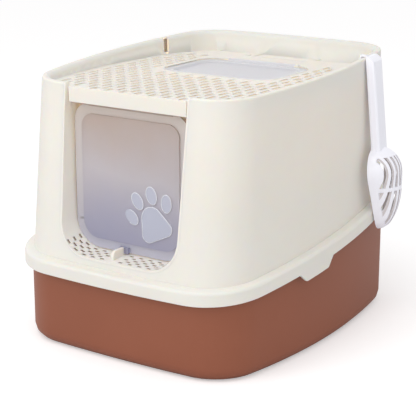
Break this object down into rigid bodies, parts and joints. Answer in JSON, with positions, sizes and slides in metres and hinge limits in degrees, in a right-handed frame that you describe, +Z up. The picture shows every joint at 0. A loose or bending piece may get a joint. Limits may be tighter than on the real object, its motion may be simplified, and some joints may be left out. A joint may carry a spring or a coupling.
{
  "type": "top-entry litter box",
  "caption": "Enclosed cat litter box: brown pan, cream hood with a swinging flap door and paw relief, hinged slotted deck with a skylight hatch, and a scoop hooked on the rim.",
  "frame": {"origin": "on the floor under the middle of the parting flange", "axes": "+Z up, -Y to the front with the flap door, +X to the side that carries the scoop"},
  "size_m": [0.4618, 0.51, 0.4008],
  "materials": {
    "brown_plastic": "satin",
    "cream_plastic": "satin",
    "pin_plastic": "satin",
    "clear_plastic": "frosted translucent",
    "white_plastic": "semi-gloss"
  },
  "bodies": {
    "base": {"litter_pan": "brown_plastic"},
    "hood_body": {"hood": "cream_plastic", "entry_step": "cream_plastic", "lid_hinge_pins": "pin_plastic"},
    "lid": {"top_lid": "cream_plastic"},
    "hatch": {"skylight_hatch": "clear_plastic"},
    "door": {"front_door": "clear_plastic"},
    "latch": {"door_latch": "cream_plastic"},
    "scoop_body": {"scoop": "white_plastic"}
  },
  "joints": [
    {"name": "hood_lift", "type": "slide", "parent": "base", "child": "hood_body", "axis": [0, 0, 1], "range_m": [0, 0.2]},
    {"name": "lid_hinge", "type": "hinge", "parent": "hood_body", "child": "lid", "pos_m": [0, 0.195, 0.3628], "axis": [-1, 0, 0], "range_deg": [0, 95]},
    {"name": "hatch_hinge", "type": "hinge", "parent": "lid", "child": "hatch", "pos_m": [0, 0.135, 0.369], "axis": [-1, 0, 0], "range_deg": [0, 100]},
    {"name": "door_swing", "type": "hinge", "parent": "hood_body", "child": "door", "pos_m": [0, -0.2, 0.352], "axis": [1, 0, 0], "range_deg": [0, 75]},
    {"name": "latch_slide", "type": "slide", "parent": "hood_body", "child": "latch", "axis": [0, 0, -1], "range_m": [0, 0.012]},
    {"name": "scoop_lift", "type": "slide", "parent": "hood_body", "child": "scoop_body", "axis": [0, 0, 1], "range_m": [0, 0.26]}
  ]
}
